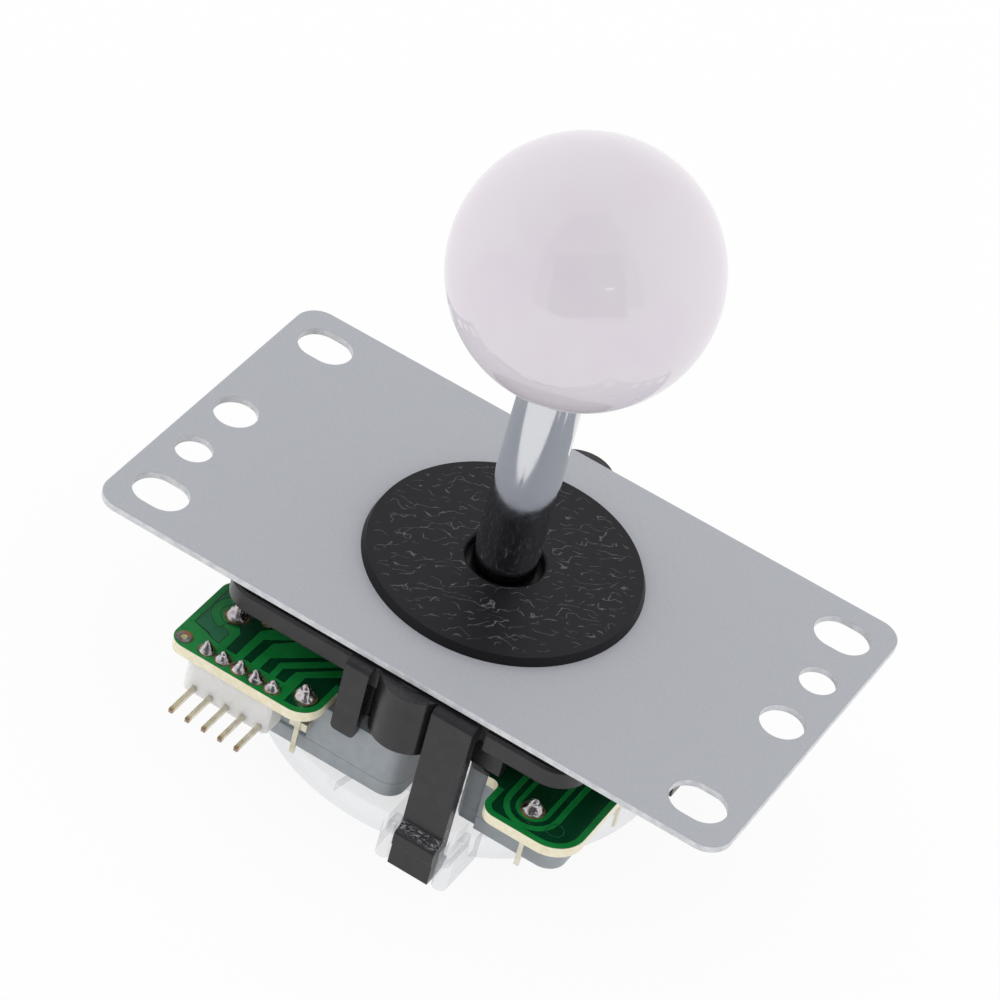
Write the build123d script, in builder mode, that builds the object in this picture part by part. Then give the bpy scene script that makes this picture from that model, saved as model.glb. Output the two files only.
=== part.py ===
from build123d import *
import os
from math import sqrt

os.makedirs("parts", exist_ok=True)

# Ball-top arcade joystick lever, in millimetres.
# The origin is the centre of the mounting plate's top face. +Z runs up the lever, +X along the
# plate's long edge, and the connector is at the front left corner, towards -X and -Y.
# Under the plate the mechanism repeats four times by quarter turns, starting at the front side.

# Mounting plate
plate_length = 95.0
plate_width = 53.0
plate_thickness = 1.0
plate_corner = 3.5
plate_edge_round = 0.2
plate_bore = 18.0
slot_spacing_x = 82.0
slot_spacing_y = 40.1
slot_length = 8.0
slot_width = 6.2
round_hole_spacing = 85.0
round_hole = 6.2
small_hole_spacing = 85.0
small_hole = 5.2
small_hole_offset = 10.1
screw_spacing = 22.0
screw_thread = 2.9
screw_hole = 3.0
screw_head_diameter = 5.6
screw_head_height = 2.0
screw_boss_diameter = 7.6
screw_boss_bottom = -5.6
screw_drive = 1.5
screw_drive_depth = 1.1
screw_tip_drop = 0.1

# Lever
ball_diameter = 35.0
ball_height = 50.0
shaft_diameter = 8.8
shaft_top_diameter = 8.5
shaft_taper_start = 17.0
stem_diameter = 6.0
thread_diameter = 5.8
thread_length = 14.0
insert_diameter = 8.0
insert_depth = 17.0
thread_gap = 0.1
shaft_end = -27.4
driver_slot_width = 1.0
driver_slot_depth = 1.2
shaft_end_chamfer = 0.4

# Pivot and the gaps between the parts
pivot_height = -3.6
pivot_diameter = 13.0
pivot_rise = 2.4
pivot_recess = 0.4
socket_gap = 0.15
running_gap = 0.06
seat_gap = 0.1

# Dust washer
washer_diameter = 38.0
washer_thickness = 1.2
washer_bevel = 0.5
washer_gap = 1.0
washer_bore_round = 0.25

# Housing
housing_top = -1.45
flange_half = 27.0
flange_thickness = 2.95
flange_corner = 4.8
flange_bevel = 0.35
pad_diameter = 40.0
hub_diameter = 20.0
hub_opening_gap = 0.986
seat_ring_diameter = 12.4
hub_relief = 0.6
boss_x = 2.1
boss_y = -24.15
boss_diameter = 10.0
boss_bore = 5.8
boss_floor = 1.6
clip_face = -28.3
clip_left = 6.6
clip_width = 6.1
clip_thickness = 1.8
clip_bend_height = -21.8
clip_shelf_height = -22.7
clip_ridge_height = -24.7
clip_foot_step = 1.3
clip_ridge = 0.35
clip_foot_thickness = 1.8
barb_height = 1.5
barb_reach = 1.4
barb_slope = 0.9
clip_slit = 1.2
clip_slit_depth = 1.4
boss_slit = 0.6
leg_left = -6.5
leg_width = 3.6
leg_thickness = 2.4
leg_bottom = -13.4
leg_corner = 0.8
leg_toe = 1.2
arm_bevel = 0.5
guard_rib_x = -2.85
guard_rib_face = -25.85
guard_rib_width = 0.7
guard_rib_depth = 3.4
side_wall_thickness = 1.6
side_wall_end = 16.2
side_wall_bottom = -9.9
hub_rib_thickness = 1.8
hub_rib_depth = 3.0
hub_rib_bury = 1.0

# Circuit board
board_top = -10.7
board_thickness = 1.6
board_margin = 1.5
board_opening = 24.0
board_notch_start = -7.9
board_notch_end = 16.7
board_notch_depth = 5.7
board_relief_start = 6.6
board_relief_end = 14.8
board_relief_depth = 2.6
board_corner = 4.5
board_tooth_corner = 2.2
board_notch_corner = 1.0
connector_lobe = 1.9
connector_lobe_corner = 3.5
terminal_hole = 1.7
board_spare_hole = 1.6
spare_hole_x = -21.7
spare_hole_y = -20.6

# Connector
pin_pitch = 2.54
pin_count = 5
pin_size = 0.64
pin_hole = 1.0
pin_row_x = -19.8
pin_row_inset = 1.7
pin_drop = 6.1
pin_reach = 6.9
plated_hole_x = -28.4
connector_width = 13.1
connector_depth = 4.2
connector_height = 5.3
connector_front = 1.3
connector_shift = -0.35
pin_point = 0.12
connector_chamfer = 0.5

# Switches
switch_length = 27.8
switch_depth = 15.9
switch_height = 9.2
switch_outer = -26.9
switch_end = 4.2
switch_corner = 2.8
switch_cover_height = 2.6
switch_recess_length = 13.6
switch_recess_depth = 0.4
switch_recess_width = 3.7
switch_step_width = 3.5
switch_step_depth = 0.7
switch_cover_bevel = 0.3
switch_seam = 0.15
switch_pocket_depth = 4.2
switch_hole = 3.1
switch_hole_inset = 2.8
plunger_diameter = 3.0
plunger_tip = -8.6
plunger_length = 5.2
plunger_level = 4.6
plunger_round = 0.9
terminal_width = 0.7
terminal_thickness = 0.4
terminal_foot_width = 2.6
terminal_foot_height = 1.2
terminal_foot_drop = 4.2
terminal_bite = 1.5
side_terminal_x = -10.7
side_terminal_gap = 1.6
end_terminal_gap = 1.9
end_terminal_y = -22.2
terminal_bottom = -20.9

# Solder
solder_base = 1.15
solder_height = 1.5
terminal_solder_base = 1.55
terminal_solder_height = 2.2
solder_tip = 0.3
solder_shoulder = 0.84
solder_shoulder_level = 0.26
solder_neck = 0.5
solder_neck_level = 0.62

# Actuator, spring, collar and retaining ring
actuator_diameter = 16.0
actuator_top = -14.2
actuator_shoulder = -20.0
actuator_nose_diameter = 11.0
actuator_nose_end = -25.2
actuator_chamfer = 0.8
spring_cup_diameter = 13.2
spring_cup_floor = -17.5
collar_flange_diameter = 15.2
collar_seat_drop = 1.27
collar_flange_thickness = 1.1
collar_neck_diameter = 8.0
collar_tube_diameter = 8.4
collar_tube_end = -13.0
spring_diameter = 10.8
spring_wire = 1.0
spring_wire_sides = 6
spring_turns = 4.0
ring_groove_diameter = 4.8
ring_thickness = 0.7
ring_diameter = 9.6
ring_slot = 3.4
ring_lug_gap = 0.9

# Clear gate
gate_diameter = 57.6
gate_deck = 1.6
gate_rim_wall = 1.3
gate_rim_height = 3.9
gate_bottom = -28.4
gate_track_diameter = 35.8
gate_track_wall = 1.5
gate_track_height = 3.0
gate_lip = 0.9
gate_lip_thickness = 0.9
gate_rib_thickness = 1.2
gate_rib_angle = 80
gate_rib_step = 35
gate_rib_drop = 1.8
prong_left_width = 2.2
prong_right_width = 2.2
prong_end = -29.6
prong_inner = -21.0
prong_drop = 1.5
prong_wall = 0.6
prong_left_pocket = 2.2
prong_right_pocket = 6.0
prong_pocket_depth = 1.8
clip_side_gap = 0.2
clip_slot_inner = -26.0
bridge_height = 3.5
bridge_thickness = 1.6
plate_slip_gap = 0.15
gate_plate_thickness = 2.4
gate_square = 16.6
gate_square_corner = 2.5
gate_skirt_height = 1.1
gate_skirt_wall = 1.3
gate_finger_length = 4.0
gate_finger_width = 1.6
gate_finger_drop = 1.4
gate_finger_radius = 14.0

# Heights and places worked out from the values above
plate_bottom = -plate_thickness
flange_bottom = housing_top - flange_thickness
board_bottom = board_top - board_thickness
switch_bottom = board_bottom - switch_height
switch_split = switch_bottom + switch_cover_height
switch_inner = switch_outer + switch_depth
switch_start = switch_end - switch_length
plunger_height = switch_bottom + plunger_level
side_terminal_y = switch_outer - side_terminal_gap
end_terminal_x = switch_start - end_terminal_gap
board_half = board_margin - side_terminal_y
board_notch_edge = board_notch_depth - board_half
board_relief_edge = board_notch_edge + board_relief_depth
pin_row_y = pin_row_inset - board_half - connector_lobe
ball_radius = ball_diameter / 2
ball_flat = ball_height - sqrt(ball_radius**2 - (shaft_top_diameter / 2) ** 2)
pivot_top = pivot_height + pivot_rise
socket_radius = pivot_diameter / 2 + socket_gap
hub_opening = collar_neck_diameter / 2 + hub_opening_gap
hub_bottom = pivot_height - sqrt(socket_radius**2 - hub_opening**2)
pivot_bottom = hub_bottom + pivot_recess
collar_flange_top = hub_bottom - collar_seat_drop
shaft_shoulder = pivot_top + seat_gap
washer_bore = shaft_diameter + 2 * washer_gap
stem_radius = stem_diameter / 2
spring_top = collar_flange_top - collar_flange_thickness - seat_gap
spring_bottom = spring_cup_floor + seat_gap
ring_top = actuator_nose_end - seat_gap / 2
ring_bottom = ring_top - ring_thickness
gate_deck_bottom = switch_bottom - gate_deck
gate_lip_top = gate_deck_bottom - gate_track_height + gate_lip_thickness
clip_foot_bottom = gate_bottom - seat_gap

side_names = ["front", "right", "back", "left"]


def save(piece, name):
    """Labels a finished piece and writes it to its own file."""
    piece.label = name
    export_step(piece, f"parts/{name}.step")


def quarter(piece, turn):
    """The same piece at another side, a number of quarter turns round the lever."""
    return piece.rotate(Axis.Z, 90 * turn)


# Mounting plate: flat steel with four slots, two large holes and two small ones
with BuildPart() as mounting_plate:
    with BuildSketch(Plane.XY.offset(plate_bottom)):
        RectangleRounded(plate_length, plate_width, plate_corner)
    extrude(amount=plate_thickness)
    fillet(mounting_plate.faces().sort_by(Axis.Z)[-1].edges(), plate_edge_round)
    with BuildSketch(Plane.XY.offset(plate_bottom)):
        Circle(plate_bore / 2)
        with GridLocations(slot_spacing_x, slot_spacing_y, 2, 2):
            SlotOverall(slot_length, slot_width)
        with GridLocations(round_hole_spacing, 0, 2, 1):
            Circle(round_hole / 2)
        with Locations(
            (-small_hole_spacing / 2, -small_hole_offset),
            (small_hole_spacing / 2, small_hole_offset),
        ):
            Circle(small_hole / 2)
        with GridLocations(screw_spacing, screw_spacing, 2, 2):
            Circle(screw_hole / 2)
    extrude(amount=plate_thickness, mode=Mode.SUBTRACT)
save(mounting_plate.part, "mounting_plate")

# Ball top with the bore for its threaded insert
with BuildPart() as ball_top:
    with BuildSketch(Plane.XZ):
        with Locations((0, ball_height)):
            Circle(ball_radius)
        with Locations((-ball_radius, 0)):
            Rectangle(ball_radius, 3 * ball_height, align=(Align.MIN, Align.CENTER), mode=Mode.SUBTRACT)
        with Locations((0, ball_flat)):
            Rectangle(ball_diameter, ball_radius, align=(Align.CENTER, Align.MAX), mode=Mode.SUBTRACT)
        with Locations((0, ball_flat)):
            Rectangle(
                insert_diameter / 2,
                insert_depth,
                align=(Align.MIN, Align.MIN),
                mode=Mode.SUBTRACT,
            )
    revolve(axis=Axis.Z)
save(ball_top.part, "ball_top")

# Threaded insert pressed into the ball
with BuildPart() as ball_insert:
    with BuildSketch(Plane.XY.offset(ball_flat)):
        Circle(insert_diameter / 2)
        Circle(thread_diameter / 2 + thread_gap, mode=Mode.SUBTRACT)
    extrude(amount=insert_depth)
save(ball_insert.part, "ball_insert")

# Shaft: polished upper part, shoulder on the pivot, slim stem, ring groove and driver slot
with BuildPart() as shaft:
    with BuildSketch(Plane.XZ):
        with BuildLine():
            Polyline(
                (0, ball_flat + thread_length),
                (thread_diameter / 2, ball_flat + thread_length),
                (thread_diameter / 2, ball_flat),
                (shaft_top_diameter / 2, ball_flat),
                (shaft_diameter / 2, shaft_taper_start),
                (shaft_diameter / 2, shaft_shoulder),
                (stem_radius, shaft_shoulder),
                (stem_radius, ring_top),
                (ring_groove_diameter / 2, ring_top),
                (ring_groove_diameter / 2, ring_bottom),
                (stem_radius, ring_bottom),
                (stem_radius, shaft_end + shaft_end_chamfer),
                (stem_radius - shaft_end_chamfer, shaft_end),
                (0, shaft_end),
                close=True,
            )
        make_face()
    revolve(axis=Axis.Z)
    with BuildSketch(Plane.XY.offset(shaft_end)):
        Rectangle(stem_diameter, driver_slot_width)
    extrude(amount=driver_slot_depth, mode=Mode.SUBTRACT)
save(shaft.part, "shaft")

# Pivot: a ball cut flat above and below, which turns in the housing's socket
with BuildPart() as pivot:
    with BuildSketch(Plane.XZ):
        with Locations((0, pivot_height)):
            Circle(pivot_diameter / 2)
        with Locations((stem_radius + running_gap, pivot_height)):
            Rectangle(
                pivot_diameter,
                2 * pivot_diameter,
                align=(Align.MAX, Align.CENTER),
                mode=Mode.SUBTRACT,
            )
        with Locations((0, pivot_top)):
            Rectangle(pivot_diameter, pivot_diameter, align=(Align.CENTER, Align.MIN), mode=Mode.SUBTRACT)
        with Locations((0, pivot_bottom)):
            Rectangle(pivot_diameter, pivot_diameter, align=(Align.CENTER, Align.MAX), mode=Mode.SUBTRACT)
    revolve(axis=Axis.Z)
save(pivot.part, "pivot")

# Spring collar: its neck bears on the pivot, its flange faces the seat ring under the housing
collar_bore = stem_radius + running_gap
collar_flange_bottom = collar_flange_top - collar_flange_thickness
with BuildPart() as spring_collar:
    with BuildSketch(Plane.XZ):
        with BuildLine():
            Polyline(
                (collar_bore, pivot_bottom),
                (collar_neck_diameter / 2, pivot_bottom),
                (collar_neck_diameter / 2, collar_flange_top),
                (collar_flange_diameter / 2, collar_flange_top),
                (collar_flange_diameter / 2, collar_flange_bottom),
                (collar_tube_diameter / 2, collar_flange_bottom),
                (collar_tube_diameter / 2, collar_tube_end),
                (collar_bore, collar_tube_end),
                close=True,
            )
        make_face()
    revolve(axis=Axis.Z)
save(spring_collar.part, "spring_collar")

# Return spring between the collar's flange and the cup of the actuator
spring_height = spring_top - spring_bottom - spring_wire
with BuildPart() as return_spring:
    with BuildLine(Plane.XY.offset(spring_bottom + spring_wire / 2)) as spring_path:
        coil = Helix(
            pitch=spring_height / spring_turns,
            height=spring_height,
            radius=spring_diameter / 2,
        )
    with BuildSketch(Plane(origin=coil @ 0, z_dir=coil % 0)):
        RegularPolygon(spring_wire / 2, spring_wire_sides)
    sweep(path=coil, is_frenet=True)
save(return_spring.part, "return_spring")

# Actuator: the drum that presses the plungers, with a nose that runs in the gate's square
with BuildPart() as actuator:
    with BuildSketch(Plane.XZ):
        with BuildLine():
            Polyline(
                (collar_bore, spring_cup_floor),
                (spring_cup_diameter / 2, spring_cup_floor),
                (spring_cup_diameter / 2, actuator_top),
                (actuator_diameter / 2, actuator_top),
                (actuator_diameter / 2, actuator_shoulder + actuator_chamfer),
                (actuator_diameter / 2 - actuator_chamfer, actuator_shoulder),
                (actuator_nose_diameter / 2, actuator_shoulder),
                (actuator_nose_diameter / 2, actuator_nose_end),
                (collar_bore, actuator_nose_end),
                close=True,
            )
        make_face()
    revolve(axis=Axis.Z)
save(actuator.part, "actuator")

# Retaining ring, open at one side, in the groove of the stem
with BuildPart() as e_ring:
    with BuildSketch(Plane.XY.offset(ring_bottom)):
        Circle(ring_diameter / 2)
        Circle(ring_groove_diameter / 2, mode=Mode.SUBTRACT)
        with Locations((ring_diameter / 2, 0)):
            Rectangle(ring_diameter, ring_slot, mode=Mode.SUBTRACT)
        with PolarLocations(ring_diameter / 2, 2, start_angle=110, angular_range=280):
            Circle(ring_lug_gap, mode=Mode.SUBTRACT)
    extrude(amount=ring_thickness)
save(e_ring.part, "e_ring")

# Dust washer: bevelled disc with an eased bore, lying on the plate
with BuildPart() as dust_washer:
    with BuildSketch(Plane.XZ):
        with BuildLine():
            Polyline(
                (washer_bore / 2, 0),
                (washer_diameter / 2, 0),
                (washer_diameter / 2 - washer_bevel, washer_thickness),
                (washer_bore / 2 + washer_bore_round, washer_thickness),
                (washer_bore / 2, washer_thickness - washer_bore_round),
                close=True,
            )
        make_face()
    revolve(axis=Axis.Z)
save(dust_washer.part, "dust_washer")

# Screws that hold the plate to the housing from below
screw_head_top = screw_boss_bottom
with BuildPart() as plate_screws:
    with BuildSketch(Plane.XY.offset(screw_head_top)):
        with GridLocations(screw_spacing, screw_spacing, 2, 2):
            Circle(screw_thread / 2)
    extrude(amount=-screw_head_top - screw_tip_drop)
    with BuildSketch(Plane.XY.offset(screw_head_top - screw_head_height)):
        with GridLocations(screw_spacing, screw_spacing, 2, 2):
            Circle(screw_head_diameter / 2)
    extrude(amount=screw_head_height)
    with BuildSketch(Plane.XY.offset(screw_head_top - screw_head_height)):
        with GridLocations(screw_spacing, screw_spacing, 2, 2):
            RegularPolygon(screw_drive / 2, 6)
    extrude(amount=screw_drive_depth, mode=Mode.SUBTRACT)
save(plate_screws.part, "plate_screws")

# One side of the housing: gate clip, board leg, half-round boss and the wall between them
clip_back = clip_face + clip_thickness
clip_foot_face = clip_face - clip_foot_step
clip_foot_back = clip_foot_face + clip_foot_thickness
bridge_bottom = gate_deck_bottom - bridge_height
side_root = -flange_half + flange_corner
hub_rib_length = hub_rib_bury - hub_diameter / 2 - boss_y
with BuildPart() as housing_side:
    # Long clip: straight blade, step outwards, foot with a ridge in front and a barb behind
    with BuildSketch(Plane.YZ.offset(clip_left)):
        with BuildLine():
            Polyline(
                (side_root, housing_top),
                (clip_face + arm_bevel, housing_top),
                (clip_face, housing_top - arm_bevel),
                (clip_face, clip_bend_height),
                (clip_foot_face - clip_ridge, clip_shelf_height),
                (clip_foot_face - clip_ridge, clip_ridge_height),
                (clip_foot_face, clip_ridge_height - clip_ridge),
                (clip_foot_face, clip_foot_bottom),
                (clip_foot_back, clip_foot_bottom),
                (clip_back + barb_reach - barb_slope, bridge_bottom - seat_gap - barb_height),
                (clip_back + barb_reach, bridge_bottom - seat_gap),
                (clip_back, bridge_bottom - seat_gap),
                (clip_back, flange_bottom),
                (side_root, flange_bottom),
                close=True,
            )
        make_face()
    extrude(amount=clip_width)
    # Short leg, thinned below the board where it passes in front of the switch
    with BuildSketch(Plane.YZ.offset(leg_left)):
        with BuildLine():
            Polyline(
                (side_root, housing_top),
                (clip_face + arm_bevel, housing_top),
                (clip_face, housing_top - arm_bevel),
                (clip_face, leg_bottom),
                (clip_face + leg_toe, leg_bottom),
                (clip_face + leg_toe, board_top),
                (clip_face + leg_thickness, board_top),
                (clip_face + leg_thickness, flange_bottom),
                (side_root, flange_bottom),
                close=True,
            )
        make_face()
    extrude(amount=leg_width)
    leg_edges = housing_side.edges().filter_by(Axis.Y)
    fillet(leg_edges.filter_by_position(Axis.Z, leg_bottom, board_top - seat_gap), leg_corner)
    # Half-round boss, open at the top, standing on the board
    with BuildSketch(Plane.XY.offset(housing_top)):
        with Locations((boss_x, boss_y)):
            Circle(boss_diameter / 2)
    extrude(amount=board_top - housing_top)
    # Wall from the boss past the clip, with a gap left above the board
    with BuildSketch(Plane.XY.offset(flange_bottom)):
        with Locations((boss_x, board_notch_edge)):
            Rectangle(
                side_wall_end - boss_x,
                side_wall_thickness,
                align=(Align.MIN, Align.MIN),
            )
    extrude(amount=side_wall_bottom - flange_bottom)
    # Thin rib between the leg and the boss
    with BuildSketch(Plane.XY.offset(flange_bottom)):
        with Locations((guard_rib_x, guard_rib_face)):
            Rectangle(guard_rib_width, guard_rib_depth, align=(Align.CENTER, Align.MIN))
    extrude(amount=board_top - flange_bottom)
    # Rib from the hub out to the boss
    with BuildSketch(Plane.XY.offset(flange_bottom)):
        with Locations((boss_x, boss_y)):
            Rectangle(hub_rib_thickness, hub_rib_length, align=(Align.CENTER, Align.MIN))
    extrude(amount=-hub_rib_depth)
    # Bore of the boss, with a floor left on the board
    with BuildSketch(Plane.XY.offset(housing_top)):
        with Locations((boss_x, boss_y)):
            Circle(boss_bore / 2)
    extrude(amount=board_top - housing_top + boss_floor, mode=Mode.SUBTRACT)

# Housing: flange with a raised pad under the plate, socket hub and four alike sides
with BuildPart() as housing:
    with BuildSketch(Plane.XY.offset(flange_bottom)):
        RectangleRounded(2 * flange_half, 2 * flange_half, flange_corner)
    extrude(amount=flange_thickness)
    chamfer(housing.faces().sort_by(Axis.Z)[-1].edges(), flange_bevel)
    with BuildSketch(Plane.XY.offset(plate_bottom)):
        Circle(pad_diameter / 2)
    extrude(amount=housing_top - plate_bottom)
    with BuildSketch(Plane.XY.offset(flange_bottom)):
        Circle(hub_diameter / 2)
    extrude(amount=hub_bottom + hub_relief - flange_bottom)
    with BuildSketch(Plane.XY.offset(hub_bottom)):
        Circle(seat_ring_diameter / 2)
    extrude(amount=hub_relief)
    with BuildSketch(Plane.XY.offset(flange_bottom)):
        with GridLocations(screw_spacing, screw_spacing, 2, 2):
            Circle(screw_boss_diameter / 2)
    extrude(amount=screw_boss_bottom - flange_bottom)
    # Slits that free the clips from the flange and from the bosses
    with BuildSketch(Plane.XY.offset(flange_bottom)):
        with PolarLocations(0, 4):
            with Locations((clip_left - boss_slit, -flange_half)):
                Rectangle(
                    clip_width + boss_slit + clip_slit,
                    clip_slit_depth,
                    align=(Align.MIN, Align.MIN),
                )
    extrude(amount=flange_thickness, mode=Mode.SUBTRACT)
    with PolarLocations(0, 4):
        add(housing_side.part)
    with BuildSketch(Plane.XY.offset(screw_boss_bottom)):
        with GridLocations(screw_spacing, screw_spacing, 2, 2):
            Circle(screw_hole / 2)
    extrude(amount=plate_bottom - screw_boss_bottom, mode=Mode.SUBTRACT)
    # Socket: cylindrical from the top down to the pivot's centre, then spherical
    with BuildSketch(Plane.XZ):
        with BuildLine():
            equator = Line((0, pivot_height), (socket_radius, pivot_height))
            ball_side = RadiusArc(equator @ 1, (hub_opening, hub_bottom), socket_radius)
            Polyline(ball_side @ 1, (0, hub_bottom), (0, pivot_height))
        make_face()
        with Locations((0, pivot_height)):
            Rectangle(socket_radius, plate_bottom - pivot_height, align=(Align.MIN, Align.MIN))
    revolve(axis=Axis.Z, mode=Mode.SUBTRACT)
save(housing.part, "housing")

# Circuit board: square with a notch on each side and a longer lobe for the connector
terminal_places = [
    (side_terminal_x, side_terminal_y),
    (end_terminal_x, end_terminal_y),
]


def near_half(length):
    """True for a length that is the board's half width, to within a small gap."""
    return abs(length - board_half) < seat_gap


def is_outer_corner(corner):
    """One of the three broad corners, so not the connector's."""
    return near_half(abs(corner.X)) and near_half(abs(corner.Y)) and corner.X + corner.Y > -board_half


def is_notch_end(corner):
    """A corner where a notch opens to the board's edge."""
    near, far = sorted([abs(corner.X), abs(corner.Y)])
    return near_half(far) and near < board_notch_end + seat_gap


def is_notch_root(corner):
    """A corner at the inner end of a notch."""
    near, far = sorted([abs(corner.X), abs(corner.Y)])
    at_end = min(abs(near - board_notch_end), abs(near + board_notch_start)) < seat_gap
    return at_end and abs(far + board_notch_edge) < seat_gap


with BuildPart() as circuit_board:
    with BuildSketch(Plane.XY.offset(board_bottom)) as board_outline:
        Rectangle(2 * board_half, 2 * board_half)
        with Locations((-board_half, -board_half - connector_lobe)):
            Rectangle(
                board_half + board_notch_start,
                connector_lobe + board_corner,
                align=(Align.MIN, Align.MIN),
            )
        with PolarLocations(0, 4):
            with Locations((board_notch_start, board_notch_edge)):
                Rectangle(
                    board_notch_end - board_notch_start,
                    board_half,
                    align=(Align.MIN, Align.MAX),
                    mode=Mode.SUBTRACT,
                )
        with PolarLocations(0, 4):
            with Locations((board_relief_start, board_relief_edge)):
                Rectangle(
                    board_relief_end - board_relief_start,
                    board_relief_edge - board_notch_edge + board_notch_corner,
                    align=(Align.MIN, Align.MAX),
                    mode=Mode.SUBTRACT,
                )
        # The corners are picked again before each rounding, because the last one renewed them
        lobe_ends = board_outline.vertices().group_by(Axis.Y)[0].sort_by(Axis.X)
        fillet(lobe_ends[-1], connector_lobe_corner)
        lobe_ends = board_outline.vertices().group_by(Axis.Y)[0].sort_by(Axis.X)
        fillet(lobe_ends[0], board_tooth_corner)
        fillet(board_outline.vertices().filter_by(is_outer_corner), board_corner)
        fillet(board_outline.vertices().filter_by(is_notch_end), board_tooth_corner)
        fillet(board_outline.vertices().filter_by(is_notch_root), board_notch_corner)
    extrude(amount=board_thickness)
    with BuildSketch(Plane.XY.offset(board_bottom)):
        Circle(board_opening / 2)
        with PolarLocations(0, 4):
            with Locations(*terminal_places):
                Circle(terminal_hole / 2)
        with Locations((spare_hole_x, spare_hole_y)):
            Circle(board_spare_hole / 2)
        with Locations((pin_row_x, pin_row_y)):
            with GridLocations(pin_pitch, 0, pin_count, 1):
                Circle(pin_hole / 2)
        with Locations((plated_hole_x, pin_row_y)):
            Circle(pin_hole / 2)
    extrude(amount=board_thickness, mode=Mode.SUBTRACT)
save(circuit_board.part, "circuit_board")

# Header pins: square wire down through the board, then out to the front
pin_lower = board_top - pin_drop - pin_size / 2
with BuildPart() as header_pins:
    with BuildSketch(Plane.XY.offset(pin_lower)):
        with Locations((pin_row_x, pin_row_y)):
            with GridLocations(pin_pitch, 0, pin_count, 1):
                Rectangle(pin_size, pin_size)
    extrude(amount=board_top - pin_lower)
    with BuildSketch(Plane.XY.offset(pin_lower)):
        with Locations((pin_row_x, pin_row_y)):
            with GridLocations(pin_pitch, 0, pin_count, 1):
                Rectangle(pin_size, pin_reach, align=(Align.CENTER, Align.MAX))
    extrude(amount=pin_size)
    chamfer(header_pins.faces().sort_by(Axis.Y)[:pin_count].edges(), pin_point)
save(header_pins.part, "header_pins")

# Header housing, hung under the board round the bends of the pins
connector_face = pin_row_y - connector_front
with BuildPart() as header_housing:
    with BuildSketch(Plane.XY.offset(board_bottom)):
        with Locations((pin_row_x + connector_shift, connector_face)):
            Rectangle(connector_width, connector_depth, align=(Align.CENTER, Align.MIN))
    extrude(amount=-connector_height)
    chamfer(header_housing.edges().filter_by(Axis.Z), connector_chamfer)
    add(header_pins.part, mode=Mode.SUBTRACT)
save(header_housing.part, "header_housing")


def solder_profile(base, height):
    """Half section of a solder joint standing at the origin, full at the foot and narrow on top."""
    with BuildSketch(Plane.XZ) as profile:
        with BuildLine():
            Polyline(
                (0, 0),
                (base, 0),
                (base * solder_shoulder, height * solder_shoulder_level),
                (base * solder_neck, height * solder_neck_level),
                (solder_tip, height),
                (0, height),
                close=True,
            )
        make_face()
    return profile.sketch


# Solder joints: a small cone at every pin and a larger one at every switch terminal
with BuildPart(mode=Mode.PRIVATE) as pin_cone:
    add(solder_profile(solder_base, solder_height))
    revolve(axis=Axis.Z)
with BuildPart(mode=Mode.PRIVATE) as terminal_cone:
    add(solder_profile(terminal_solder_base, terminal_solder_height))
    revolve(axis=Axis.Z)
with BuildPart() as solder_joints:
    with Locations((pin_row_x, pin_row_y, board_top)):
        with GridLocations(pin_pitch, 0, pin_count, 1):
            add(pin_cone.part)
    with PolarLocations(0, 4):
        with Locations(*[(x, y, board_top) for x, y in terminal_places]):
            add(terminal_cone.part)
save(solder_joints.part, "solder_joints")

# One switch, built at the front side: two blades with feet that enter the case
side_foot_level = board_bottom - terminal_foot_drop
case_face = switch_outer + switch_recess_depth
with BuildPart(mode=Mode.PRIVATE) as switch_terminals:
    with BuildSketch(Plane.XY.offset(terminal_bottom)):
        with Locations((side_terminal_x, side_terminal_y)):
            Rectangle(terminal_width, terminal_thickness)
        with Locations((end_terminal_x, end_terminal_y)):
            Rectangle(terminal_thickness, terminal_width)
    extrude(amount=board_top - terminal_bottom)
    with BuildSketch(Plane.XY.offset(side_foot_level)):
        with Locations((side_terminal_x, side_terminal_y)):
            Rectangle(
                terminal_foot_width,
                case_face + terminal_bite - side_terminal_y,
                align=(Align.CENTER, Align.MIN),
            )
        with Locations((end_terminal_x, end_terminal_y)):
            Rectangle(
                switch_start + terminal_bite - end_terminal_x,
                terminal_foot_width,
                align=(Align.MIN, Align.CENTER),
            )
    extrude(amount=terminal_foot_height)

# Case of the switch with its recess, plunger pocket and two mounting holes
switch_mid_x = (switch_start + switch_end) / 2
switch_mid_y = (switch_outer + switch_inner) / 2
switch_holes = [
    (switch_end - switch_hole_inset, switch_outer + switch_hole_inset),
    (switch_start + switch_hole_inset, switch_inner - switch_hole_inset),
]
with BuildPart(mode=Mode.PRIVATE) as switch_case:
    with BuildSketch(Plane.XY.offset(switch_split)):
        with Locations((switch_mid_x, switch_mid_y)):
            RectangleRounded(switch_length, switch_depth, switch_corner)
        with Locations((switch_start, switch_outer)):
            Rectangle(
                switch_recess_length,
                switch_recess_depth,
                align=(Align.MIN, Align.MIN),
                mode=Mode.SUBTRACT,
            )
            Rectangle(
                switch_recess_depth,
                switch_recess_width,
                align=(Align.MIN, Align.MIN),
                mode=Mode.SUBTRACT,
            )
        with Locations((switch_start, switch_inner)):
            Rectangle(
                switch_step_depth,
                switch_step_width,
                align=(Align.MIN, Align.MAX),
                mode=Mode.SUBTRACT,
            )
        with Locations(*switch_holes):
            Circle(switch_hole / 2, mode=Mode.SUBTRACT)
    extrude(amount=board_bottom - switch_split)
    with BuildSketch(Plane.XZ.offset(-switch_inner)):
        with Locations((0, plunger_height)):
            Circle(plunger_diameter / 2 + running_gap)
    extrude(amount=switch_pocket_depth, mode=Mode.SUBTRACT)
    add(switch_terminals.part, mode=Mode.SUBTRACT)
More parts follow.
